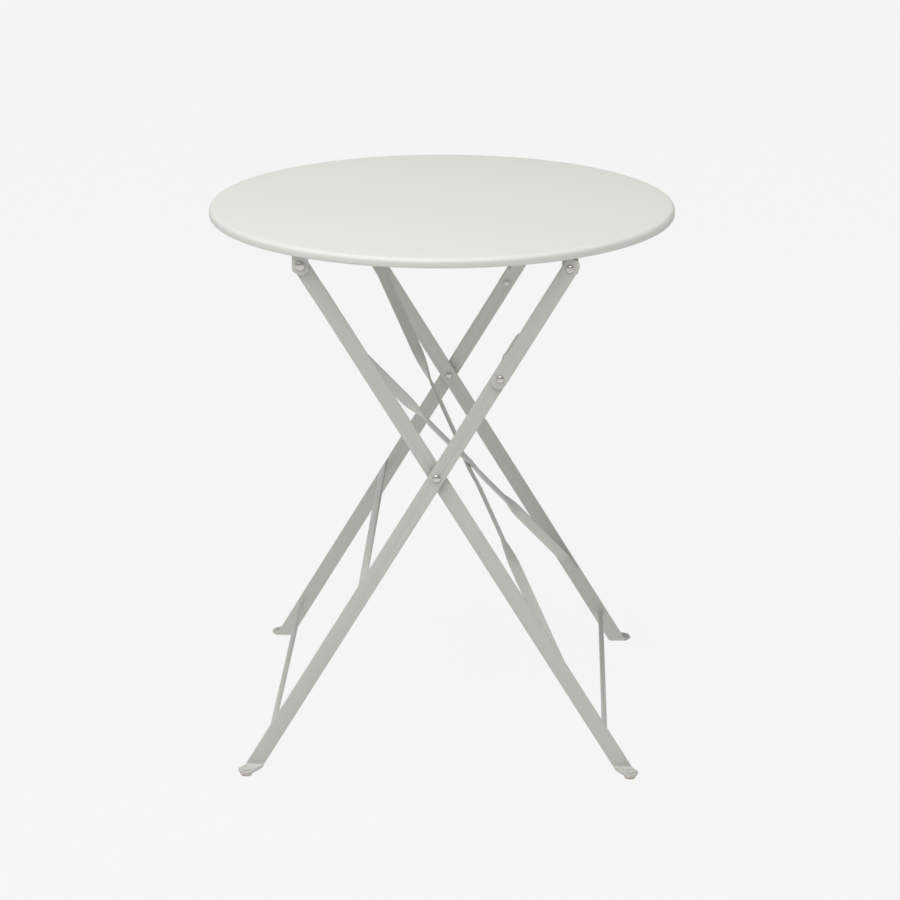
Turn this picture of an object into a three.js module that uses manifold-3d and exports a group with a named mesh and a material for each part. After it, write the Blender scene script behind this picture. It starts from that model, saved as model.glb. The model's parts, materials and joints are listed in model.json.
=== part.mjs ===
// Folding bistro table: a round pressed steel top on two pairs of crossed flat-bar legs.
// Frame A hangs from the left ears of the top, frame B hangs from two links on the right ears.
// X runs left to right along the rails, Y runs front to back, Z is up, and the origin is on the floor.
import * as THREE from "three";
import { mergeVertices } from "three/addons/utils/BufferGeometryUtils.js";
import Module from "manifold-3d";

// Overall sizes.
const TABLE_HEIGHT = 692.8;
const TOP_DIAMETER = 600;

// Top: sheet steel turned down at the edge into a rounded skirt with a small hem.
const TOP_SHEET = 1.5;
const SKIRT_DEPTH = 12;
const SKIRT_TOP_RADIUS = 6;
const SKIRT_HEM_RADIUS = 2.5;

// Four-bar linkage: lengths between pivot axes.
const PIVOT_SPACING = 330;
const PIVOT_DROP = 25.4;
const ARM_A = 318.5;
const LINK_LENGTH = 164;
const ARM_B = 153;

// Flat bar of the legs and links.
const BAR_WIDTH = 20;
const BAR_THICK = 4;
const LINK_WIDTH = 20;
const BAR_END_MARGIN = 13.5;
const LEG_B_TAIL = 64;
const TAIL_CHAMFER = 3;

// Running gaps, measured across Y, and how far the ears stay inside the skirt.
const EAR_TO_SKIRT = 3.09;
const FIT_GAP = 0.3;
const PIVOT_GAP = 0.6;
const CROSSING_GAP = 3;

// Jog that brings the top of frame A's legs out to the ears.
const JOG_START = 30;
const JOG_END = 50;

// Stop lip slit from the tail of each B leg.
const SLIT_START = 19;
const SLIT_WIDTH = 1;
const LIP_THICK = 1.8;
const LIP_TIP = 0.9;
const LIP_RISE = 4;
const LIP_CLEAR = 0.3;
const LIP_RAMP = 14;
const LIP_INSET = 0.25;

// Rails and ears under the top.
const RAIL_WIDTH = 24;
const RAIL_THICK = 4;
const RAIL_BEND = 3;
const EAR_WIDTH = 20;
const EAR_MARGIN = 11.3;
const EAR_CHAMFER_X = 6.5;
const EAR_CHAMFER_Z = 4.5;

// Feet: the end of each leg is bent outwards into a flat tab.
const FOOT_BEND = 3;
const FOOT_TAB = 27;
const FOOT_OUTER_CUT = [6, 7];
const FOOT_INNER_CUT = [5, 3];
const PAD_ALONG = 19;
const PAD_ACROSS = 1;
const PAD_DIAMETER = 14;
const PAD_THICK = 3;
const PAD_STEM_DIAMETER = 5;
const PAD_BUTTON_DIAMETER = 8;
const PAD_BUTTON_HEIGHT = 1.4;

// Crossed brace of frame A.
const BRACE_WIDTH = 14;
const BRACE_THICK = 3;
const BRACE_CENTRE = 380;
const BRACE_SLOPE = 0.9;
const BRACE_END_TAB = 22;
const BRACE_BEND = 9;
const BRACE_TWIST_AT = 105;
const BRACE_TWIST_LENGTH = 62;
const BRACE_END_SHARE = 0.12;
const BRACE_LIFT_LENGTH = 26;

// Cross strip and stretcher rods.
const STRIP_WIDTH = 20;
const STRIP_THICK = 3;
const STRIP_AT = 483;
const ROD_DIAMETER = 7;
const ROD_A_AT = 728;
const ROD_A_OFFSET = 1;
const ROD_B_AT = 718;
const ROD_B_OFFSET = -5;

// Fasteners.
const SHANK_DIAMETER = 6;
const HOLE_CLEARANCE = 0.2;
const LEG_RIVET_HEAD = 11.5;
const LEG_RIVET_RISE = 3;
const CROSS_RIVET_HEAD = 10;
const CROSS_RIVET_RISE = 2.9;
const LINK_RIVET_HEAD = 9;
const LINK_RIVET_RISE = 2.6;
const INNER_HEAD = 8;
const INNER_RISE = 2;
const SCREW_HEAD = 10.4;
const SCREW_RISE = 3.2;
const RECESS_LENGTH = 5.2;
const RECESS_WIDTH = 1.3;
const RECESS_DEPTH = 1.5;
const NUT_FLATS = 10;
const NUT_THICK = 5;
const SPACER_DIAMETER = 14;

// How finely curves are divided.
const TOP_SEGMENTS = 96;
const ROUND_SEGMENTS = 20;
const ARC_STEPS = 5;

const COATING = { color: 0xb9bcb4, roughness: 0.55, metalness: 0.1 };
const TOP_COATING = { color: 0xd2d4cd, roughness: 0.5, metalness: 0.1 };
const BRIGHT = { color: 0xc9c5bd, roughness: 0.2, metalness: 1 };
const PAD_RUBBER = { color: 0xb39a8a, roughness: 0.8, metalness: 0 };

const wasm = await Module();
wasm.setup();

// ---------------------------------------------------------------- solids

// Merges the shared corners of a closed geometry and makes it a solid.
function solid(geometry) {
  const bare = new THREE.BufferGeometry();
  bare.setAttribute("position", geometry.getAttribute("position").clone());
  if (geometry.index) bare.setIndex(geometry.index.clone());
  const merged = mergeVertices(bare, 1e-4);
  return new wasm.Manifold(
    new wasm.Mesh({
      numProp: 3,
      vertProperties: new Float32Array(merged.attributes.position.array),
      triVerts: new Uint32Array(merged.index.array),
    }),
  );
}

// Turns a solid back into a geometry with flat faces.
function geometryOf(made) {
  const mesh = made.getMesh();
  const points = [];
  for (const corner of mesh.triVerts) {
    const start = corner * mesh.numProp;
    points.push(...mesh.vertProperties.subarray(start, start + 3));
  }
  const geometry = new THREE.BufferGeometry();
  geometry.setAttribute("position", new THREE.Float32BufferAttribute(points, 3));
  geometry.computeVertexNormals();
  return geometry;
}

// A solid turned about the Y direction through (x, z). The profile is [radius, y] pairs.
function turned(profile, x, z, segments = ROUND_SEGMENTS) {
  const points = profile.map(([radius, y]) => new THREE.Vector2(radius, y));
  const geometry = new THREE.LatheGeometry(points, segments);
  geometry.translate(x, 0, z);
  return solid(geometry);
}

// A plain round bar along Y.
function roundBar(diameter, fromY, toY, x, z, segments = ROUND_SEGMENTS) {
  const radius = diameter / 2;
  return turned([[0, fromY], [radius, fromY], [radius, toY], [0, toY]], x, z, segments);
}

// Mirrors a solid front to back.
function mirrored(made) {
  return made.mirror([0, 1, 0]);
}

// A strip of metal through cross-sections, each given by its two edges and its normal.
function strip(sections, thickness) {
  const points = [];
  for (const { left, right, normal } of sections) {
    const half = normal.clone().multiplyScalar(thickness / 2);
    points.push(left.clone().sub(half));
    points.push(right.clone().sub(half));
    points.push(right.clone().add(half));
    points.push(left.clone().add(half));
  }
  const faces = [];
  const last = (sections.length - 1) * 4;
  for (let at = 0; at < last; at += 4) {
    for (let side = 0; side < 4; side += 1) {
      const next = (side + 1) % 4;
      faces.push(at + side, at + next, at + next + 4);
      faces.push(at + side, at + next + 4, at + side + 4);
    }
  }
  faces.push(0, 2, 1, 0, 3, 2);
  faces.push(last, last + 1, last + 2, last, last + 2, last + 3);
  const geometry = new THREE.BufferGeometry();
  geometry.setAttribute("position", new THREE.Float32BufferAttribute(points.flatMap((p) => p.toArray()), 3));
  geometry.setIndex(faces);
  const made = solid(geometry);
  if (made.volume() > 0) return made;
  for (let i = 0; i < faces.length; i += 3) [faces[i + 1], faces[i + 2]] = [faces[i + 2], faces[i + 1]];
  geometry.setIndex(faces);
  return solid(geometry);
}

// ---------------------------------------------------------------- the linkage, laid out in X and Z

const pivotZ = TABLE_HEIGHT - PIVOT_DROP;
const legPivot = new THREE.Vector2(-PIVOT_SPACING / 2, pivotZ);
const linkPivot = new THREE.Vector2(PIVOT_SPACING / 2, pivotZ);
const armBTotal = LINK_LENGTH + ARM_B;
const crossX = (PIVOT_SPACING ** 2 + ARM_A ** 2 - armBTotal ** 2) / (2 * PIVOT_SPACING);
const crossing = new THREE.Vector2(legPivot.x + crossX, pivotZ - Math.sqrt(ARM_A ** 2 - crossX ** 2));

// A line along a leg from its top pivot: `along` runs down the leg, `off` runs across it to the right.
function legLine(origin) {
  const down = crossing.clone().sub(origin).normalize();
  const across = new THREE.Vector2(-down.y, down.x);
  return {
    down,
    across,
    at(along, off) {
      return origin.clone().addScaledVector(down, along).addScaledVector(across, off);
    },
    lengthTo(z) {
      return (z - origin.y) / down.y;
    },
  };
}

const lineA = legLine(legPivot);
const lineB = legLine(linkPivot);
const linkRivet = lineB.at(LINK_LENGTH, 0);

// Planes of the pieces, as distances from the middle of the table. The ears' outer corners stay inside
// the skirt, and that places every other piece.
const earCorner = PIVOT_SPACING / 2 + EAR_WIDTH / 2;
const earReach = TOP_DIAMETER / 2 - TOP_SHEET - EAR_TO_SKIRT;
const legBPlane = Math.sqrt(earReach ** 2 - earCorner ** 2) - BAR_THICK / 2;
const legAPlane = legBPlane - BAR_THICK - CROSSING_GAP;
const legATopPlane = legBPlane - BAR_THICK - PIVOT_GAP;
const linkPlane = legBPlane + BAR_THICK + PIVOT_GAP;
const legAInside = legAPlane - BAR_THICK / 2;
const legBInside = legBPlane - BAR_THICK / 2;
const legBOutside = legBPlane + BAR_THICK / 2;
const linkOutside = linkPlane + BAR_THICK / 2;

function point(flat, y) {
  return new THREE.Vector3(flat.x, y, flat.y);
}

// Steps of a half circle at a bar's end, as [along, half width] from the end inwards.
function roundEnd(margin, width) {
  const radius = width / 2;
  const steps = [];
  for (let i = 1; i <= ARC_STEPS; i += 1) {
    const angle = (i / ARC_STEPS) * (Math.PI / 2);
    steps.push([-margin + radius * (1 - Math.cos(angle)), radius * Math.sin(angle)]);
  }
  return steps;
}

function hole(flat, nearY, farY) {
  const diameter = SHANK_DIAMETER + 2 * HOLE_CLEARANCE;
  return roundBar(diameter, Math.min(nearY, farY) - 1, Math.max(nearY, farY) + 1, flat.x, flat.y);
}

// ---------------------------------------------------------------- top

function topDisc() {
  const radius = TOP_DIAMETER / 2;
  const top = TABLE_HEIGHT;
  const bottom = TABLE_HEIGHT - SKIRT_DEPTH;
  const profile = [new THREE.Vector2(0, top)];
  const arc = (centreR, centreZ, r, from, to, steps) => {
    for (let i = 0; i <= steps; i += 1) {
      const angle = from + ((to - from) * i) / steps;
      profile.push(new THREE.Vector2(centreR + r * Math.cos(angle), centreZ + r * Math.sin(angle)));
    }
  };
  const quarter = Math.PI / 2;
  const upperR = radius - SKIRT_TOP_RADIUS;
  const upperZ = top - SKIRT_TOP_RADIUS;
  const hemR = radius - SKIRT_HEM_RADIUS;
  const hemZ = bottom + SKIRT_HEM_RADIUS;
  arc(upperR, upperZ, SKIRT_TOP_RADIUS, quarter, 0, ARC_STEPS);
  arc(hemR, hemZ, SKIRT_HEM_RADIUS, 0, -quarter, ARC_STEPS - 2);
  arc(hemR, hemZ, SKIRT_HEM_RADIUS - TOP_SHEET, -quarter, 0, ARC_STEPS - 2);
  arc(upperR, upperZ, SKIRT_TOP_RADIUS - TOP_SHEET, 0, quarter, ARC_STEPS - 1);
  profile.push(new THREE.Vector2(0, top - TOP_SHEET));
  const geometry = new THREE.LatheGeometry(profile.reverse(), TOP_SEGMENTS);
  geometry.rotateX(Math.PI / 2);
  return solid(geometry);
}

// One rail: a flat strip under the sheet whose ends are bent down into ears.
function rail() {
  const railTop = TABLE_HEIGHT - TOP_SHEET - FIT_GAP;
  const railBottom = railTop - RAIL_THICK;
  const outer = -(legBPlane + BAR_THICK / 2);
  const inner = outer + RAIL_WIDTH;
  const earInner = outer + BAR_THICK;
  const earBottom = pivotZ - EAR_MARGIN;
  const reach = PIVOT_SPACING / 2 + EAR_WIDTH / 2;
  const section = new THREE.Shape();
  section.moveTo(inner, railTop);
  section.lineTo(inner, railBottom);
  section.lineTo(earInner + RAIL_BEND, railBottom);
  section.absarc(earInner + RAIL_BEND, railBottom - RAIL_BEND, RAIL_BEND, Math.PI / 2, Math.PI, false);
  section.lineTo(earInner, earBottom);
  section.lineTo(outer, earBottom);
  section.lineTo(outer, railBottom - RAIL_BEND);
  const outerBend = RAIL_BEND + RAIL_THICK;
  section.absarc(outer + outerBend, railTop - outerBend, outerBend, Math.PI, Math.PI / 2, true);
  const bent = new THREE.ExtrudeGeometry(section, {
    depth: 2 * reach,
    bevelEnabled: false,
    curveSegments: ARC_STEPS,
  });
  bent.applyMatrix4(new THREE.Matrix4().makeBasis(
    new THREE.Vector3(0, 1, 0),
    new THREE.Vector3(0, 0, 1),
    new THREE.Vector3(1, 0, 0),
  ));
  bent.translate(-reach, 0, 0);
  let made = solid(bent);
  const span = PIVOT_SPACING - EAR_WIDTH;
  const window = new THREE.BoxGeometry(span, BAR_THICK + RAIL_BEND + 2, pivotZ);
  window.translate(0, outer + (BAR_THICK + RAIL_BEND) / 2 - 1, railBottom - RAIL_BEND - pivotZ / 2);
  made = made.subtract(solid(window));
  for (const pivot of [legPivot, linkPivot]) {
    made = made.subtract(hole(pivot, outer, earInner));
    for (const side of [-1, 1]) {
      const corner = new THREE.Shape();
      corner.moveTo(side * (EAR_WIDTH / 2 + 1), -EAR_MARGIN - 1);
      corner.lineTo(side * (EAR_WIDTH / 2 + 1), -EAR_MARGIN + EAR_CHAMFER_Z * (1 + 1 / EAR_CHAMFER_X));
      corner.lineTo(side * (EAR_WIDTH / 2 - EAR_CHAMFER_X * (1 + 1 / EAR_CHAMFER_Z)), -EAR_MARGIN - 1);
      const cut = new THREE.ExtrudeGeometry(corner, { depth: BAR_THICK + 2, bevelEnabled: false });
      cut.rotateX(Math.PI / 2);
      cut.translate(pivot.x, earInner + 1, pivot.y);
      made = made.subtract(solid(cut));
    }
  }
  return made;
}

// ---------------------------------------------------------------- legs

// Sections of a leg's foot: the bar runs down to the bend, round it, and outwards as a tab.
// `place` gives the plane's distance from the middle, and the front leg is at minus that distance.
function footSections(line, plane) {
  const topOfTab = PAD_THICK + BAR_THICK;
  const bendZ = topOfTab + FOOT_BEND;
  const middleRadius = FOOT_BEND + BAR_THICK / 2;
  const bendLength = middleRadius * (Math.PI / 2);
  const sections = [];
  const edge = (side, run) => {
    const along = line.lengthTo(bendZ);
    const start = line.at(along, 0);
    const halfX = BAR_WIDTH / 2 / Math.abs(line.down.y);
    const drift = line.down.x / Math.abs(line.down.y);
    return start.x + side * halfX + drift * run;
  };
  const add = (run, y, z, normal) => {
    const left = new THREE.Vector3(edge(-1, run), y, z);
    const right = new THREE.Vector3(edge(1, run), y, z);
    sections.push({ left, right, normal });
  };
  for (let i = 0; i <= ARC_STEPS; i += 1) {
    const angle = (i / ARC_STEPS) * (Math.PI / 2);
    const y = -plane - middleRadius * (1 - Math.cos(angle));
    const z = bendZ - middleRadius * Math.sin(angle);
    add(bendLength * (i / ARC_STEPS), y, z, new THREE.Vector3(0, Math.cos(angle), -Math.sin(angle)));
  }
  const run = FOOT_TAB + BAR_WIDTH / 2;
  add(bendLength + run, -plane - middleRadius - run, bendZ - middleRadius, new THREE.Vector3(0, 0, -1));
  return sections;
}

// A place on a front foot's tab: `along` runs outwards from the leg's face, in line with the leg, and
// `off` runs across it.
function onTab(line, plane, along, off) {
  const start = line.at(line.lengthTo(PAD_THICK + BAR_THICK), 0);
  const across = new THREE.Vector2(-line.down.y, line.down.x);
  const face = new THREE.Vector2(start.x, -plane - BAR_THICK / 2);
  return face.addScaledVector(line.down, along).addScaledVector(across, off);
}

// What is cut off the end of a tab, which ends square to the leg with both corners taken off. The outer
// corner points away from the middle of the table.
function tabWaste(line, plane) {
  const side = -Math.sign(line.down.x);
  const half = BAR_WIDTH / 2;
  const [outerAlong, outerAcross] = FOOT_OUTER_CUT;
  const [innerAlong, innerAcross] = FOOT_INNER_CUT;
  const past = 3;
  const corners = [
    [FOOT_TAB - outerAlong * (1 + past / outerAcross), -half - past],
    [FOOT_TAB, outerAcross - half],
    [FOOT_TAB, half - innerAcross],
    [FOOT_TAB - innerAlong * (1 + past / innerAcross), half + past],
    [3 * FOOT_TAB, half + past],
    [3 * FOOT_TAB, -half - past],
  ];
  const outline = new THREE.Shape(corners.map(([along, off]) => onTab(line, plane, along, side * off)));
  const waste = new THREE.ExtrudeGeometry(outline, { depth: 2 * BAR_THICK, bevelEnabled: false });
  waste.translate(0, 0, PAD_THICK - BAR_THICK / 2);
  return solid(waste);
}

function padPlace(line, plane) {
  return onTab(line, plane, PAD_ALONG, -Math.sign(line.down.x) * PAD_ACROSS);
}

function padHole(line, plane) {
  const place = padPlace(line, plane);
  const radius = PAD_STEM_DIAMETER / 2 + FIT_GAP;
  const cut = new THREE.CylinderGeometry(radius, radius, BAR_THICK * 3, ROUND_SEGMENTS);
  cut.rotateX(Math.PI / 2);
  cut.translate(place.x, place.y, PAD_THICK + BAR_THICK / 2);
  return solid(cut);
}

function barSection(line, along, halfWidth, plane) {
  return {
    left: point(line.at(along, -halfWidth), -plane),
    right: point(line.at(along, halfWidth), -plane),
    normal: new THREE.Vector3(0, 1, 0),
  };
}

function legA() {
  const half = BAR_WIDTH / 2;
  const sections = roundEnd(EAR_MARGIN, BAR_WIDTH).map(([along, width]) =>
    barSection(lineA, along, width, legATopPlane));
  for (let i = 0; i <= ARC_STEPS; i += 1) {
    const share = i / ARC_STEPS;
    const eased = share * share * (3 - 2 * share);
    const along = JOG_START + (JOG_END - JOG_START) * share;
    sections.push(barSection(lineA, along, half, legATopPlane + (legAPlane - legATopPlane) * eased));
  }
  sections.push(...footSections(lineA, legAPlane));
  return strip(sections, BAR_THICK)
    .subtract(hole(legPivot, -legATopPlane - BAR_THICK, -legATopPlane + BAR_THICK))
    .subtract(hole(crossing, -legAPlane - BAR_THICK, -legAPlane + BAR_THICK))
    .subtract(tabWaste(lineA, legAPlane))
    .subtract(padHole(lineA, legAPlane));
}

function legB() {
  const half = BAR_WIDTH / 2;
  const tail = LINK_LENGTH - LEG_B_TAIL;
  const sections = [
    barSection(lineB, tail, half - TAIL_CHAMFER, legBPlane),
    barSection(lineB, tail + TAIL_CHAMFER, half, legBPlane),
    ...footSections(lineB, legBPlane),
  ];
  const slitEnd = LINK_LENGTH - SLIT_START;
  const lipCut = strip([
    barSection(lineB, tail - 1, half, legBPlane),
    barSection(lineB, slitEnd, half, legBPlane),
  ].map((section) => ({
    left: section.left,
    right: section.left.clone().lerp(section.right, (LIP_THICK + SLIT_WIDTH) / BAR_WIDTH),
    normal: section.normal,
  })), BAR_THICK + 2);
  const lipShift = LINK_WIDTH / 2 - half + LIP_CLEAR + LIP_THICK;
  const lipSection = (along, shift, rise, thick = LIP_THICK) => ({
    left: point(lineB.at(along, -half - shift + LIP_THICK - thick), -legBPlane - rise),
    right: point(lineB.at(along, -half - shift + LIP_THICK), -legBPlane - rise),
    normal: new THREE.Vector3(0, 1, 0),
  });
  const lip = strip([
    lipSection(slitEnd + 2, -LIP_INSET, 0),
    lipSection(slitEnd - 1, -LIP_INSET, 0),
    lipSection(slitEnd - LIP_RAMP / 2, lipShift, 0),
    lipSection(slitEnd - LIP_RAMP, lipShift, LIP_RISE),
    lipSection(tail + 3 * TAIL_CHAMFER, lipShift, LIP_RISE),
    lipSection(tail + TAIL_CHAMFER, lipShift, LIP_RISE, LIP_TIP),
  ], BAR_THICK - 2 * LIP_INSET);
  return strip(sections, BAR_THICK)
    .subtract(lipCut)
    .add(lip)
    .subtract(hole(crossing, -legBPlane - BAR_THICK, -legBPlane + BAR_THICK))
    .subtract(hole(linkRivet, -legBPlane - BAR_THICK, -legBPlane + BAR_THICK))
    .subtract(tabWaste(lineB, legBPlane))
    .subtract(padHole(lineB, legBPlane));
}

function link() {
  const ends = roundEnd(BAR_END_MARGIN, LINK_WIDTH);
  const sections = ends.map(([along, width]) => barSection(lineB, along, width, linkPlane));
  for (const [along, width] of ends.slice().reverse()) {
    sections.push(barSection(lineB, LINK_LENGTH - along, width, linkPlane));
  }
  return strip(sections, BAR_THICK)
    .subtract(hole(linkPivot, -linkPlane - BAR_THICK, -linkPlane + BAR_THICK))
    .subtract(hole(linkRivet, -linkPlane - BAR_THICK, -linkPlane + BAR_THICK));
}

// ---------------------------------------------------------------- braces

// A brace strip of frame A. It lies flat on a leg at each end, leaves it at a bend, and is twisted a
// quarter turn on each side so that its middle lies in the frame's own plane, lifted over the other strip.
function braceStrip(slope, lift) {
  const wall = legAInside - FIT_GAP - BRACE_THICK / 2;
  const across = new THREE.Vector3(lineA.across.x, 0, lineA.across.y);
  const down = new THREE.Vector3(lineA.down.x, 0, lineA.down.y);
  const away = new THREE.Vector3(0, 1, 0);
  const middle = point(lineA.at(BRACE_CENTRE, 0), 0);
  const run = Math.hypot(1, slope);
  const straight = down.clone().addScaledVector(away, slope).divideScalar(run);
  const halfLength = (wall / Math.abs(slope)) * run;
  const twistAt = (BRACE_TWIST_AT / Math.abs(slope)) * run;
  const sections = [];
  const place = (centre, forward, turn) => {
    const inPlane = new THREE.Vector3().crossVectors(forward, across);
    const wide = across.clone().multiplyScalar(Math.cos(turn)).addScaledVector(inPlane, Math.sin(turn));
    const normal = new THREE.Vector3().crossVectors(forward, wide);
    const half = wide.clone().multiplyScalar(BRACE_WIDTH / 2);
    sections.push({ left: centre.clone().sub(half), right: centre.clone().add(half), normal });
  };
  const clamped = (share) => Math.min(1, Math.max(0, share));
  const smooth = (share) => clamped(share) ** 2 * (3 - 2 * clamped(share));
  const endPoint = (sign) => middle.clone().addScaledVector(straight, sign * halfLength);
  const tabTip = (sign) => endPoint(sign).addScaledVector(down, sign * BRACE_END_TAB);
  const tabRoot = (sign) => endPoint(sign).addScaledVector(down, sign * BRACE_BEND);
  const half = new THREE.Vector3().addVectors(down, straight).normalize();
  place(tabTip(-1), down, 0);
  place(tabRoot(-1), down, 0);
  place(endPoint(-1).lerp(tabRoot(-1), BRACE_END_SHARE), half, 0);
  const stops = [halfLength - BRACE_BEND];
  for (let i = 0; i <= 2 * ARC_STEPS; i += 1) {
    stops.push(twistAt + BRACE_TWIST_LENGTH * (0.5 - i / (2 * ARC_STEPS)));
  }
  stops.push(BRACE_LIFT_LENGTH + BRACE_WIDTH, BRACE_LIFT_LENGTH / 2 + BRACE_WIDTH, BRACE_WIDTH);
  const distances = [...stops.map((stop) => -stop), ...stops.slice().reverse()];
  for (const at of distances) {
    const untwisted = clamped((Math.abs(at) - twistAt) / BRACE_TWIST_LENGTH + 0.5);
    const turn = at < 0 ? (1 - untwisted) * (Math.PI / 2) : (1 + untwisted) * (Math.PI / 2);
    const raised = 1 - smooth((Math.abs(at) - BRACE_WIDTH) / BRACE_LIFT_LENGTH);
    const centre = middle.clone().addScaledVector(straight, at).addScaledVector(across, lift * raised);
    place(centre, straight, turn);
  }
  place(endPoint(1).lerp(tabRoot(1), BRACE_END_SHARE), half, Math.PI);
  place(tabRoot(1), down, Math.PI);
  place(tabTip(1), down, Math.PI);
  return strip(sections, BRACE_THICK);
}

// The flat strip between the B legs, on their outer edges.
function crossStrip() {
  const reach = legBInside - FIT_GAP;
  const off = -BAR_WIDTH / 2 + STRIP_THICK / 2;
  const sections = [-reach, reach].map((y) => ({
    left: point(lineB.at(STRIP_AT - STRIP_WIDTH / 2, off), y),
    right: point(lineB.at(STRIP_AT + STRIP_WIDTH / 2, off), y),
    normal: new THREE.Vector3(lineB.across.x, 0, lineB.across.y),
  }));
  return strip(sections, STRIP_THICK);
}

function stretcher(line, along, off, inside) {
  const place = line.at(along, off);
  const reach = inside - FIT_GAP;
  return roundBar(ROD_DIAMETER, -reach, reach, place.x, place.y);
}

// ---------------------------------------------------------------- fasteners, made for the front side

// Profile of a domed head whose flat side is at y, bulging towards -Y.
function dome(diameter, rise, y) {
  const profile = [];
  const radius = diameter / 2;
  for (let i = 0; i <= ARC_STEPS; i += 1) {
    const angle = (i / ARC_STEPS) * (Math.PI / 2);
    profile.push([radius * Math.sin(angle), y - rise * Math.cos(angle)]);
  }
  return profile;
}

// A rivet from an outer face to an inner face, with a dome outside and a low peened head inside.
function rivet(flat, head, rise, outsideY, insideY) {
  const radius = SHANK_DIAMETER / 2;
  const profile = dome(head, rise, outsideY - FIT_GAP);
  profile.push([radius, outsideY - FIT_GAP]);
  profile.push([radius, insideY + FIT_GAP]);
  const inner = dome(INNER_HEAD, INNER_RISE, 0).reverse();
  for (const [r, y] of inner) profile.push([r, insideY + FIT_GAP - y]);
  return turned(profile, flat.x, flat.y);
}

// The crossing rivet is in two halves that meet between the legs, so that each half stays with its leg.
function crossRivetOuter() {
  const radius = SHANK_DIAMETER / 2;
  const face = -legBOutside - FIT_GAP;
  const profile = dome(CROSS_RIVET_HEAD, CROSS_RIVET_RISE, face);
  profile.push([radius, face], [radius, -legBInside], [0, -legBInside]);
  return turned(profile, crossing.x, crossing.y);
}

function crossRivetInner() {
  const radius = SHANK_DIAMETER / 2;
  const face = -legAInside + FIT_GAP;
  const profile = [[0, -legBInside + FIT_GAP], [radius, -legBInside + FIT_GAP], [radius, face]];
  for (const [r, y] of dome(INNER_HEAD, INNER_RISE, 0).reverse()) profile.push([r, face - y]);
  return turned(profile, crossing.x, crossing.y);
}

function crossSpacer() {
  const outer = SPACER_DIAMETER / 2;
  const inner = SHANK_DIAMETER / 2 + HOLE_CLEARANCE;
  const near = -legBInside + FIT_GAP;
  const far = -(legAPlane + BAR_THICK / 2) - FIT_GAP;
  const outline = [[inner, near], [outer, near], [outer, far], [inner, far], [inner, near]];
  return turned(outline, crossing.x, crossing.y);
}

// The link's screw: a domed head with a cross recess outside, and a plain end in the nut.
function linkScrew() {
  const radius = SHANK_DIAMETER / 2;
  const face = -linkOutside - FIT_GAP;
  const end = -legBInside + NUT_THICK + 1;
  const profile = dome(SCREW_HEAD, SCREW_RISE, face);
  profile.push([radius, face], [radius, end], [0, end]);
  let made = turned(profile, linkPivot.x, linkPivot.y);
  for (const turn of [0, Math.PI / 2]) {
    const slot = new THREE.BoxGeometry(RECESS_LENGTH, 2 * RECESS_DEPTH, RECESS_WIDTH);
    slot.rotateY(turn + Math.PI / 5);
    slot.translate(linkPivot.x, face - SCREW_RISE, linkPivot.y);
    made = made.subtract(solid(slot));
  }
  return made;
}

function linkNut() {
  const corner = NUT_FLATS / Math.sqrt(3);
  const near = -legBInside + FIT_GAP;
  const outline = roundBar(2 * corner, near, near + NUT_THICK, linkPivot.x, linkPivot.y, 6);
  return outline.subtract(hole(linkPivot, near, near + NUT_THICK));
}

// A foot pad: a disc under the tab, a stem through it and a low button on top.
function footPad(line, plane) {
  const place = padPlace(line, plane);
  const stem = PAD_STEM_DIAMETER / 2;
  const under = PAD_THICK - FIT_GAP;
  const over = PAD_THICK + BAR_THICK + FIT_GAP;
  const profile = [
    [0, 0],
    [PAD_DIAMETER / 2 - 1, 0],
    [PAD_DIAMETER / 2, 1],
    [PAD_DIAMETER / 2, under],
    [stem, under],
    [stem, over],
    [PAD_BUTTON_DIAMETER / 2, over],
    [PAD_BUTTON_DIAMETER / 2 - 1, over + PAD_BUTTON_HEIGHT],
    [0, over + PAD_BUTTON_HEIGHT],
  ].map(([radius, z]) => new THREE.Vector2(radius, z));
  const geometry = new THREE.LatheGeometry(profile, ROUND_SEGMENTS);
  geometry.rotateX(Math.PI / 2);
  geometry.translate(place.x, place.y, 0);
  return solid(geometry);
}

// ---------------------------------------------------------------- assembly

const table = new THREE.Group();

function addPiece(group, name, made, finish) {
  const mesh = new THREE.Mesh(geometryOf(made), new THREE.MeshStandardMaterial(finish));
  mesh.name = name;
  group.add(mesh);
}

// Adds a piece at the front and its mirror image at the back.
function addPair(group, name, made, finish) {
  addPiece(group, `${name}_front`, made, finish);
  addPiece(group, `${name}_back`, mirrored(made), finish);
}

const top = new THREE.Group();
addPiece(top, "top_disc", topDisc(), TOP_COATING);
addPair(top, "rail", rail(), COATING);
const legRivet = rivet(legPivot, LEG_RIVET_HEAD, LEG_RIVET_RISE, -legBOutside, -legATopPlane + BAR_THICK / 2);
addPair(top, "leg_rivet", legRivet, BRIGHT);
addPair(top, "link_screw", linkScrew(), BRIGHT);
addPair(top, "link_nut", linkNut(), BRIGHT);
table.add(top);

const frameA = new THREE.Group();
addPair(frameA, "leg_a", legA(), COATING);
addPiece(frameA, "brace_rising", braceStrip(BRACE_SLOPE, BRACE_THICK / 2 + FIT_GAP), COATING);
addPiece(frameA, "brace_falling", braceStrip(-BRACE_SLOPE, -BRACE_THICK / 2 - FIT_GAP), COATING);
addPiece(frameA, "stretcher_a", stretcher(lineA, ROD_A_AT, ROD_A_OFFSET, legAInside), COATING);
addPair(frameA, "cross_rivet_inner", crossRivetInner(), BRIGHT);
addPair(frameA, "cross_spacer", crossSpacer(), BRIGHT);
addPair(frameA, "foot_pad_a", footPad(lineA, legAPlane), PAD_RUBBER);
table.add(frameA);

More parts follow.
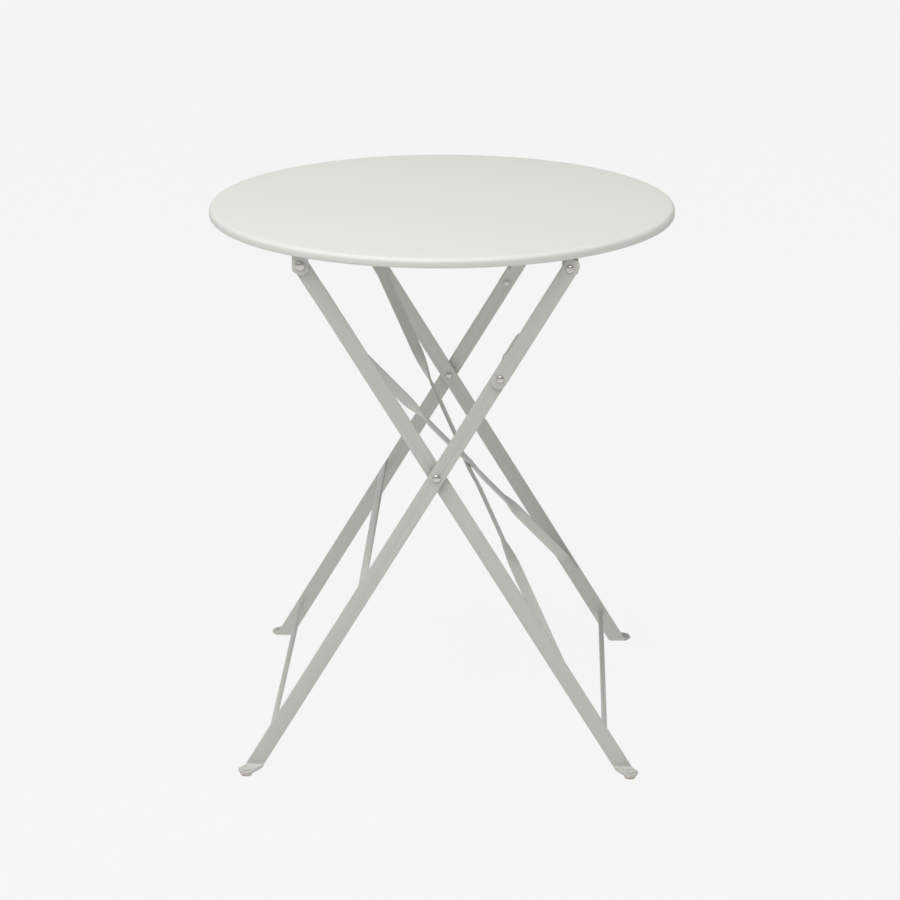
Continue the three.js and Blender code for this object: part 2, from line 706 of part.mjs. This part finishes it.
const frameB = new THREE.Group();
addPair(frameB, "leg_b", legB(), COATING);
addPiece(frameB, "cross_strip", crossStrip(), COATING);
addPiece(frameB, "stretcher_b", stretcher(lineB, ROD_B_AT, ROD_B_OFFSET, legBInside), COATING);
addPair(frameB, "cross_rivet_outer", crossRivetOuter(), BRIGHT);
addPair(frameB, "foot_pad_b", footPad(lineB, legBPlane), PAD_RUBBER);
table.add(frameB);

const links = new THREE.Group();
addPair(links, "link", link(), COATING);
const linkRivetShape = rivet(linkRivet, LINK_RIVET_HEAD, LINK_RIVET_RISE, -linkOutside, -legBInside);
addPair(links, "link_rivet", linkRivetShape, BRIGHT);
table.add(links);

export default table;
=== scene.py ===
# %% [markdown]
# # A folding bistro table
#
# The real table is a round pressed steel top on two crossed frames of flat bar. Everything is steel, sprayed
# with one pale grey powder coat, apart from bright rivets and small rubber feet. The CAD model already holds
# each piece in its right place, so this lesson loads it as a fixed frame and gives it its finish: rounded
# edges, truly round turned pieces, and materials. Nothing is moved, so every piece can still fold.

# %% Load the frame and keep its box
import json
import math

import bpy
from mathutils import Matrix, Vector


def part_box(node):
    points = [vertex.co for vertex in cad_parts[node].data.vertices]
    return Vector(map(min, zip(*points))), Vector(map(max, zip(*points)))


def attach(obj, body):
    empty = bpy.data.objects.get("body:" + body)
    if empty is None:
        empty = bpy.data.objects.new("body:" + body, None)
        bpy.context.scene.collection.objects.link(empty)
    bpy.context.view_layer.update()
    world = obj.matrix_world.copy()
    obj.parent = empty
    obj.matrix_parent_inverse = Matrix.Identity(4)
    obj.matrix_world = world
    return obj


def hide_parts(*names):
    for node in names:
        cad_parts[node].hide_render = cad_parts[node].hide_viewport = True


MM = 0.001
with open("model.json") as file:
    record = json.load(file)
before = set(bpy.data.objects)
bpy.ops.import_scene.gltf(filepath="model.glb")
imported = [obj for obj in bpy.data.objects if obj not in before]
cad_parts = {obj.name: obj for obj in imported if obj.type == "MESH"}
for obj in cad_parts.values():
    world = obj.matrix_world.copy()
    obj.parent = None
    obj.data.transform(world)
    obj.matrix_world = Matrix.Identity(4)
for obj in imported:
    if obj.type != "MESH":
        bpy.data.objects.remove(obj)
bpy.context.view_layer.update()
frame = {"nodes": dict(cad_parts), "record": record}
body_of = {node: body for body, nodes in frame["record"]["behaviour"]["bodies"].items() for node in nodes}
slot_of = {part["node"]: part["material_slot"] for part in frame["record"]["subparts"]}

# %% [markdown]
# ## Shader maths as Python
#
# A material is a graph of nodes, and writing one link at a time hides what it computes. Wrapping a socket in
# a small class lets an ordinary expression such as `0.4 + mask * 0.2` add the Math nodes by itself. Every other
# node comes from one method, which sets the node's own settings first and then its sockets.


# %% A socket that can be added, subtracted and multiplied
class Wire:
    def __init__(self, recipe, socket):
        self.recipe = recipe
        self.socket = socket

    def _math(self, operation, first, second):
        return self.recipe.node("ShaderNodeMath", {"operation": operation}, {0: first, 1: second})

    def __add__(self, other):
        return self._math("ADD", self, other)

    def __radd__(self, other):
        return self._math("ADD", other, self)

    def __sub__(self, other):
        return self._math("SUBTRACT", self, other)

    def __mul__(self, other):
        return self._math("MULTIPLY", self, other)


# %% A material that is written as a recipe
class Recipe:
    def __init__(self, name):
        self.material = bpy.data.materials.new(name)
        self.material.use_nodes = True
        self.nodes = self.material.node_tree.nodes
        self.links = self.material.node_tree.links
        self.shader = self.nodes["Principled BSDF"]

    def node(self, kind, settings=None, sockets=None, output=0):
        made = self.nodes.new(kind)
        for name, value in (settings or {}).items():
            setattr(made, name, value)
        for name, value in (sockets or {}).items():
            self.set(made.inputs[name], value)
        return Wire(self, made.outputs[output])

    def set(self, socket, value):
        if isinstance(value, Wire):
            self.links.new(value.socket, socket)
        else:
            socket.default_value = value

    def shade(self, sockets):
        for name, value in sockets.items():
            self.set(self.shader.inputs[name], value)
        return self.material

    def blend(self, mask, first, second):
        return self.node("ShaderNodeMix", {"data_type": "RGBA"}, {0: mask, 6: first, 7: second}, 2)

    def noise(self, place, size, detail):
        return self.node("ShaderNodeTexNoise", {}, {"Vector": place, "Scale": 1 / size, "Detail": detail})

    def place(self):
        return self.node("ShaderNodeTexCoord", {}, {}, "Object")

    def bump(self, height, depth, strength):
        return self.node("ShaderNodeBump", {}, {"Height": height, "Distance": depth, "Strength": strength})


print("shader helpers ready")

# %% [markdown]
# ## Powder coat
#
# Powder is sprayed on dry and melted in an oven, which leaves a satin skin with a faint orange peel about a
# millimetre and a half across, over slower waves a few centimetres long. The peel is far too fine to model,
# so it is a bump. Its colour is nearly even, but a perfectly even colour looks like plastic, so two noises
# drift it a little: a broad one for the coat's thickness and a fine one for its grain.

# %% The coat of the frame, and of the top with a painted sheen
COAT_GREY = (0.560, 0.564, 0.522, 1)
COAT_SHADE = (0.522, 0.527, 0.485, 1)
# The top is the same coat as the frame, painted lighter: a painted sheen for the light that falls on it from
# above.
TOP_GREY_WITH_PAINTED_SHEEN = (0.652, 0.652, 0.615, 1)
TOP_DARKER_WITH_PAINTED_SHEEN = (0.630, 0.630, 0.593, 1)
PEEL_SIZE = 1.6 * MM
PEEL_DEPTH = 0.03 * MM
GRAIN_SIZE = 0.45 * MM
CLOUD_SIZE = 60 * MM


def powder_coat(name, light, dark, roughness):
    coat = Recipe(name)
    place = coat.place()
    peel = coat.noise(place, PEEL_SIZE, 2)
    grain = coat.noise(place, GRAIN_SIZE, 1)
    cloud = coat.noise(place, CLOUD_SIZE, 3)
    drift = cloud * 0.7 + grain * 0.3
    return coat.shade({
        "Base Color": coat.blend(drift, light, dark),
        "Roughness": roughness + cloud * 0.08 - peel * 0.06,
        "Normal": coat.bump(peel + grain * 0.25, PEEL_DEPTH, 0.55),
    })


frame_coat = powder_coat("powder_coat_frame", COAT_GREY, COAT_SHADE, 0.46)
# The top's lighter greys are painted sheen, not a different coat.
top_coat = powder_coat("powder_coat_top_painted_sheen", TOP_GREY_WITH_PAINTED_SHEEN, TOP_DARKER_WITH_PAINTED_SHEEN, 0.54)
print("made", frame_coat.name, "and", top_coat.name)

# %% [markdown]
# ## Bright rivets and rubber feet
#
# The fasteners are plated after they are made, so they are bright but not mirror smooth: fine scratches from
# the tumbler scatter the light. The feet are moulded rubber, matt, a little mottled and pinkish brown.

# %% The plated steel and the rubber
STEEL_LIGHT = (0.74, 0.72, 0.69, 1)
STEEL_DARK = (0.52, 0.50, 0.47, 1)
RUBBER_LIGHT = (0.60, 0.50, 0.42, 1)
RUBBER_DARK = (0.48, 0.38, 0.31, 1)


def plated_steel():
    steel = Recipe("plated_steel")
    place = steel.place()
    scratch = steel.noise(place, 0.35 * MM, 4)
    stain = steel.noise(place, 2.5 * MM, 2)
    return steel.shade({
        "Base Color": steel.blend(stain, STEEL_LIGHT, STEEL_DARK),
        "Metallic": 1.0,
        "Roughness": 0.16 + scratch * 0.12 + stain * 0.06,
        "Normal": steel.bump(scratch, 0.01 * MM, 0.4),
    })


def pad_rubber():
    rubber = Recipe("pad_rubber")
    place = rubber.place()
    mottle = rubber.noise(place, 3 * MM, 4)
    pores = rubber.noise(place, 0.5 * MM, 2)
    return rubber.shade({
        "Base Color": rubber.blend(mottle, RUBBER_LIGHT, RUBBER_DARK),
        "Roughness": 0.68 + pores * 0.2,
        "Normal": rubber.bump(pores, 0.05 * MM, 0.5),
    })


bright_steel = plated_steel()
foot_rubber = pad_rubber()
finish_of = {
    "top_coating": top_coat,
    "frame_coating": frame_coat,
    "bright_fastener": bright_steel,
    "pad": foot_rubber,
}
print("made", bright_steel.name, "and", foot_rubber.name)

# %% [markdown]
# ## Handing a piece over to the frame
#
# Each finished piece stands for one CAD node: it hides that node, rides on the same body, and takes the same
# material slot. Doing this in one helper keeps a piece from being left behind when the table folds.


# %% Helpers that every piece uses
def deselect_all():
    if bpy.context.object and bpy.context.object.mode != "OBJECT":
        bpy.ops.object.mode_set(mode="OBJECT")
    bpy.ops.object.select_all(action="DESELECT")


def select_only(piece):
    deselect_all()
    piece.select_set(True)
    bpy.context.view_layer.objects.active = piece


def apply_modifiers(piece):
    select_only(piece)
    for modifier in list(piece.modifiers):
        bpy.ops.object.modifier_apply(modifier=modifier.name)


def smooth_below(piece, degrees):
    select_only(piece)
    bpy.ops.object.shade_smooth_by_angle(angle=math.radians(degrees))


def stand_for(piece, node):
    piece.data.materials.clear()
    piece.data.materials.append(finish_of[slot_of[node]])
    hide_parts(node)
    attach(piece, body_of[node])


def middle_of(node):
    low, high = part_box(node)
    return (Vector(low) + Vector(high)) / 2


print("helpers ready")

# %% [markdown]
# ## Flat bars with broken edges
#
# Flat bar comes from the rolling mill with its edges slightly rounded, and the coat rounds them a little
# more. That thin highlight along each edge is what tells the eye that a bar is steel. The CAD bars have the
# right shape but knife-sharp corners, so each is copied, its loose triangles are merged, its flat faces are
# made whole again, and a Bevel modifier rounds what is left. A twisted strip has no flat faces, and the slit
# in leg B is too narrow to make whole, so in those the triangles are only paired into quads. Modelling the
# bars afresh would risk moving a pivot, and this cannot.

# %% Round the edges of a copy of a CAD piece
MERGE_WITHIN = 0.02 * MM
FLAT_WITHIN = math.radians(0.6)
SHARP_FROM = 38
PAIR_WITHIN = math.radians(15)


def softened(node, edge, paired=False):
    source = frame["nodes"][node]
    piece = source.copy()
    piece.data = source.data.copy()
    piece.parent = None
    piece.name = node + "_finished"
    bpy.context.scene.collection.objects.link(piece)
    select_only(piece)
    bpy.ops.object.mode_set(mode="EDIT")
    bpy.ops.mesh.select_all(action="SELECT")
    bpy.ops.mesh.remove_doubles(threshold=MERGE_WITHIN)
    if paired:
        bpy.ops.mesh.tris_convert_to_quads(face_threshold=PAIR_WITHIN, shape_threshold=math.radians(90))
    else:
        bpy.ops.mesh.dissolve_limited(angle_limit=FLAT_WITHIN)
    bpy.ops.object.mode_set(mode="OBJECT")
    bevel = piece.modifiers.new("broken edge", "BEVEL")
    bevel.width = edge
    bevel.segments = 3
    bevel.limit_method = "ANGLE"
    bevel.angle_limit = math.radians(SHARP_FROM)
    bevel.use_clamp_overlap = False
    bevel.harden_normals = False
    apply_modifiers(piece)
    smooth_below(piece, SHARP_FROM)
    stand_for(piece, node)
    return piece


# %% Every bar, strip, rail and spacer
EDGE_OF = {
    "rail": 0.7 * MM,
    "leg_a": 0.7 * MM,
    "leg_b": 0.3 * MM,
    "link": 0.7 * MM,
    "cross_strip": 0.6 * MM,
    "brace_rising": 0.5 * MM,
    "brace_falling": 0.5 * MM,
    "cross_spacer": 0.25 * MM,
    "link_nut": 0.3 * MM,
}

PAIRED = ("brace_rising", "brace_falling", "leg_b")

bars = []
for node in frame["nodes"]:
    kind = node.removesuffix("_front").removesuffix("_back")
    if kind in EDGE_OF:
        bars.append(softened(node, EDGE_OF[kind], kind in PAIRED))
print("softened", len(bars), "pieces")

# %% [markdown]
# ## Turned pieces
#
# The top, rods, rivets and feet are all round. One way of making them fits them all: a single point is
# extruded along half of the outline and then spun round, just as a lathe or a spinning press would do it.
# A cylinder primitive could be bevelled into the same shapes, but the outline says more plainly what is made.


# %% Extrude a point along an outline and spin it
def turned(name, outline, steps, centre, tilt=0.0):
    deselect_all()
    bpy.ops.mesh.primitive_plane_add(size=MM)
    piece = bpy.context.object
    piece.name = name
    bpy.ops.object.mode_set(mode="EDIT")
    bpy.ops.mesh.select_all(action="SELECT")
    bpy.ops.mesh.merge(type="CENTER")
    bpy.ops.transform.translate(value=(outline[0][0], 0, outline[0][1]))
    for (from_radius, from_height), (radius, height) in zip(outline, outline[1:]):
        move = (radius - from_radius, 0, height - from_height)
        bpy.ops.mesh.extrude_region_move(TRANSFORM_OT_translate={"value": move})
    bpy.ops.mesh.select_all(action="SELECT")
    bpy.ops.mesh.spin(steps=steps, angle=2 * math.pi, center=(0, 0, 0), axis=(0, 0, 1))
    bpy.ops.mesh.select_all(action="SELECT")
    bpy.ops.mesh.remove_doubles(threshold=0.002 * MM)
    bpy.ops.mesh.normals_make_consistent(inside=False)
    bpy.ops.object.mode_set(mode="OBJECT")
    piece.rotation_euler = (tilt, 0, 0)
    piece.location = centre
    bpy.ops.object.transform_apply(location=True, rotation=True, scale=True)
    return piece


ROUND_STEPS = 48


def arc(centre, radius, start, end, steps):
    points = []
    for i in range(steps + 1):
        angle = math.radians(start + (end - start) * i / steps)
        points.append((centre[0] + radius * math.cos(angle), centre[1] + radius * math.sin(angle)))
    return points


print("lathe ready")

# %% [markdown]
# ## The top
#
# A disc of sheet is pressed over a round former, which turns its edge down into a skirt. The shoulder keeps
# the radius of the press tool, and the free edge curls in a little so that no raw edge is left to cut a hand.
# The outline goes round the outside and comes back along the inside, one sheet's thickness away.

# %% Press the top
SHEET = 1.5 * MM
SHOULDER = 6 * MM
HEM = 2.5 * MM
TOP_STEPS = 288
top_low, top_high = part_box("top_disc")
top_radius = (top_high[0] - top_low[0]) / 2
skirt_foot = top_low[2]
shoulder_centre = (top_radius - SHOULDER, top_high[2] - SHOULDER)
hem_centre = (top_radius - HEM, skirt_foot + HEM)
flat_rings = [(top_radius * share, top_high[2]) for share in (0, 0.3, 0.6, 0.9)]
under_rings = [(radius, height - SHEET) for radius, height in reversed(flat_rings)]
top_outline = [
    *flat_rings,
    *arc(shoulder_centre, SHOULDER, 90, 0, 10),
    *arc(hem_centre, HEM, 0, -90, 6),
    *arc(hem_centre, HEM - SHEET, -90, 0, 5),
    *arc(shoulder_centre, SHOULDER - SHEET, 0, 90, 9),
    *under_rings,
]
top = turned("pressed_top", top_outline, TOP_STEPS, (0, 0, 0))
smooth_below(top, 30)
stand_for(top, "top_disc")
print("pressed a top", round(top_radius * 2 / MM), "mm across")

# %% [markdown]
# ## Stretcher rods
#
# Each rod is cut to length and welded between two legs. The weld is a small fillet that swells towards the
# leg, and the coat rounds it off. It is part of the rod here, as the outline simply flares at both ends.

# %% Turn the rods with their welds
WELD_LENGTH = 2.2 * MM
WELD_RISE = 1.3 * MM
CLOSE_GAP = 0.28 * MM


def rod(node):
    low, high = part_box(node)
    radius = (high[0] - low[0]) / 2
    half = (high[1] - low[1]) / 2 + CLOSE_GAP
    shares = (0, 0.25, 0.5, 0.75, 1)
    weld = [(radius + WELD_RISE * (1 - share) ** 2, half - WELD_LENGTH * share) for share in shares]
    outline = [(0, half), *weld]
    outline += [(across, -height) for across, height in reversed(weld)]
    outline.append((0, -half))
    piece = turned(node + "_welded", outline, ROUND_STEPS, middle_of(node), math.pi / 2)
    smooth_below(piece, 50)
    stand_for(piece, node)
    return piece


rods = [rod("stretcher_a"), rod("stretcher_b")]
print("turned", len(rods), "rods")

# %% [markdown]
# ## Rivets
#
# A rivet is a pin with a domed head. It is pushed through both bars and its plain end is hammered over into a
# second, lower head. The heads stand just clear of the bars so that the joint can turn. Both heads and the
# shank are one outline. The dome is an ellipse, with a short straight rim below it, as a real one has.

# %% Turn a rivet from its CAD size
SHANK = 3 * MM
RIM = 0.35 * MM


def dome(radius, rise, base):
    points = []
    for i in range(9):
        angle = math.radians(90 * i / 8)
        points.append((radius * math.sin(angle), base + RIM + (rise - RIM) * math.cos(angle)))
    return [*points, (radius, base)]


def rivet(node, head, tail, side=1):
    low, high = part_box(node)
    length = high[1] - low[1]
    outline = dome(*head, length / 2 - head[1])
    outline.append((SHANK, outline[-1][1]))
    if tail:
        outline += [(across, -height) for across, height in reversed(dome(*tail, length / 2 - tail[1]))]
    else:
        outline += [(SHANK, -length / 2), (0, -length / 2)]
    outward = math.pi / 2 if high[1] < 0 else -math.pi / 2
    piece = turned(node + "_turned", outline, ROUND_STEPS, middle_of(node), side * outward)
    smooth_below(piece, 35)
    return piece


# %% Every rivet, and the foot of each screw
# The rise of the head, and the radius and rise of the tail where there is one.
INNER_HEAD = (4 * MM, 2 * MM)
RIVET_SIZES = {
    "leg_rivet": (3 * MM, INNER_HEAD),
    "link_rivet": (2.6 * MM, INNER_HEAD),
    "cross_rivet_outer": (2.9 * MM, None),
    "link_screw": (3.2 * MM, None),
}

round_fasteners = {}
for kind, (rise, tail) in RIVET_SIZES.items():
    for side in ("front", "back"):
        node = kind + "_" + side
        low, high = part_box(node)
        round_fasteners[node] = rivet(node, ((high[0] - low[0]) / 2, rise), tail)
for side in ("front", "back"):
    node = "cross_rivet_inner_" + side
    round_fasteners[node] = rivet(node, INNER_HEAD, None, side=-1)
print("turned", len(round_fasteners), "fasteners")

# %% [markdown]
# ## The cross recess of the screws
#
# Two of the fasteners are screws, with a cross recess that a driver turned. The recess is cut with a Boolean
# modifier and a cutter of two crossed wedges, because it goes into a curved head where an inset would slide.

# %% Cut the recess into both screws
RECESS_LENGTH = 5.4 * MM
RECESS_WIDTH = 1.3 * MM
RECESS_DEPTH = 1.5 * MM
RECESS_TURN = math.radians(36)


def cut_recess(piece, tip_y, centre):
    for turn in (RECESS_TURN, RECESS_TURN + math.pi / 2):
        deselect_all()
        bpy.ops.mesh.primitive_cube_add(size=1, location=(centre.x, tip_y, centre.z), rotation=(0, turn, 0))
        cutter = bpy.context.object
        cutter.scale = (RECESS_LENGTH, 2 * RECESS_DEPTH, RECESS_WIDTH)
        bpy.ops.object.transform_apply(location=True, rotation=True, scale=True)
        cut = piece.modifiers.new("recess", "BOOLEAN")
        cut.operation = "DIFFERENCE"
        cut.object = cutter
        apply_modifiers(piece)
        bpy.data.objects.remove(cutter)


for side, tip in (("front", 0), ("back", 1)):
    node = "link_screw_" + side
    tip_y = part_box(node)[tip][1]
    cut_recess(round_fasteners[node], tip_y, middle_of(node))
    smooth_below(round_fasteners[node], 35)
for node, piece in round_fasteners.items():
    stand_for(piece, node)
print("cut the recesses")

# %% [markdown]
# ## Rubber feet
#
# Each foot tab has a hole, and a rubber foot is pressed into it from below: a round pad under the tab, a
# stem in the hole, and a low button on top that keeps it from falling out. The buttons carry the same coat
# as the legs, so the faces above the tab take the coat as a second material.

# %% Turn the feet
TAB_LOW = 3 * MM
TAB_HIGH = 7 * MM
STEM = 2.5 * MM
BUTTON = 4 * MM
FOOT_STEPS = 40


def foot_pad(node):
    low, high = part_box(node)
    radius = (high[0] - low[0]) / 2
    top_of_button = high[2]
    outline = [
        (0, 0),
        (radius - 1 * MM, 0),
        *arc((radius - 1 * MM, 1 * MM), 1 * MM, -90, 0, 4),
        *arc((radius - 0.6 * MM, TAB_LOW - 0.75 * MM), 0.6 * MM, 0, 90, 4),
        (STEM, TAB_LOW - 0.15 * MM),
        (STEM, TAB_HIGH + 0.1 * MM),
        (BUTTON, TAB_HIGH + 0.1 * MM),
        (BUTTON, TAB_HIGH + 0.5 * MM),
        *arc((BUTTON - 0.8 * MM, top_of_button - 0.8 * MM), 0.8 * MM, 0, 90, 4),
        (0, top_of_button),
    ]
    centre = middle_of(node)
    piece = turned(node + "_moulded", outline, FOOT_STEPS, (centre.x, centre.y, 0))
    smooth_below(piece, 35)
    stand_for(piece, node)
    piece.data.materials.append(frame_coat)
    for face in piece.data.polygons:
        face.material_index = 1 if face.center.z > TAB_HIGH else 0
    return piece


feet = [foot_pad(node) for node in sorted(frame["nodes"]) if node.startswith("foot_pad")]
print("moulded", len(feet), "feet")

# %% [markdown]
# ## Floor, light and camera
#
# The table stands in a white studio sweep, lit from a large soft box above and by the white all round it. A
# plain floor would show a hard shadow, so most of the floor's brightness is its own: it glows a little, and
# only a small share of it takes shadow. The room is bright round the sides and darker overhead, which gives
# the domed rivets a dark part to reflect, and it shows one plain white to the camera.

# %% A pale floor that takes a faint shadow
FLOOR_SIZE = 60
FLOOR_GLOW = 0.897
FLOOR_WHITE = (0.86, 0.86, 0.86, 1)
FLOOR_REFLECTS = (0.02, 0.02, 0.02, 1)

deselect_all()
bpy.ops.mesh.primitive_plane_add(size=FLOOR_SIZE, location=(0, 0, -0.0002))
floor = bpy.context.object
floor.name = "studio_floor"
sweep = Recipe("studio_sweep")
sweep.shade({
    "Base Color": FLOOR_REFLECTS,
    "Roughness": 1.0,
    "Specular IOR Level": 0.0,
    "Emission Color": FLOOR_WHITE,
    "Emission Strength": FLOOR_GLOW / FLOOR_WHITE[0],
})
floor.data.materials.append(sweep.material)
print("laid a floor", FLOOR_SIZE, "m wide")

# %% The white room all round
SKY_EDGE = 0.42
SKY_OVERHEAD = 0.22
SKY_SEEN = 0.913

world = bpy.data.worlds.new("white_room")
bpy.context.scene.world = world
world.use_nodes = True
sky = world.node_tree
way = sky.nodes.new("ShaderNodeTexCoord")
height = sky.nodes.new("ShaderNodeSeparateXYZ")
fade = sky.nodes.new("ShaderNodeMapRange")
seen = sky.nodes.new("ShaderNodeLightPath")
choose = sky.nodes.new("ShaderNodeMix")
fade.inputs["From Min"].default_value = 0
fade.inputs["From Max"].default_value = 1
fade.inputs["To Min"].default_value = SKY_EDGE
fade.inputs["To Max"].default_value = SKY_OVERHEAD
choose.inputs["B"].default_value = SKY_SEEN
sky.links.new(way.outputs["Generated"], height.inputs["Vector"])
sky.links.new(height.outputs["Z"], fade.inputs["Value"])
sky.links.new(fade.outputs["Result"], choose.inputs["A"])
sky.links.new(seen.outputs["Is Camera Ray"], choose.inputs["Factor"])
sky.links.new(choose.outputs["Result"], sky.nodes["Background"].inputs["Strength"])
sky.nodes["Background"].inputs["Color"].default_value = (1, 1, 1, 1)
bpy.context.scene.view_settings.view_transform = "Standard"
print("lit the room")

# %% The soft box above
SOFT_BOX_PLACE = (-0.5, -1.0, 3.4)
SOFT_BOX_AIM = Vector((0, 0, 0.6))
SOFT_BOX_WIDTH = 3.2
SOFT_BOX_DEPTH = 2.6
SOFT_BOX_POWER = 116

deselect_all()
bpy.ops.object.light_add(type="AREA", location=SOFT_BOX_PLACE)
soft_box = bpy.context.object
soft_box.name = "soft_box"
soft_box.data.shape = "RECTANGLE"
soft_box.data.size = SOFT_BOX_WIDTH
soft_box.data.size_y = SOFT_BOX_DEPTH
soft_box.data.energy = SOFT_BOX_POWER
soft_box.rotation_euler = (SOFT_BOX_AIM - soft_box.location).to_track_quat("-Z", "Y").to_euler()
print("hung the soft box")

# %% The camera
CAMERA_PLACE = (0.1448, -3.969, 1.6092)
CAMERA_TILT = math.radians(90 - 17.48)
CAMERA_TURN = math.radians(1.94)
LENS = 126.0

bpy.ops.object.camera_add(location=CAMERA_PLACE, rotation=(CAMERA_TILT, 0, CAMERA_TURN))
camera = bpy.context.object
camera.data.lens = LENS
camera.data.sensor_width = 36
bpy.context.scene.camera = camera
print("placed the camera")
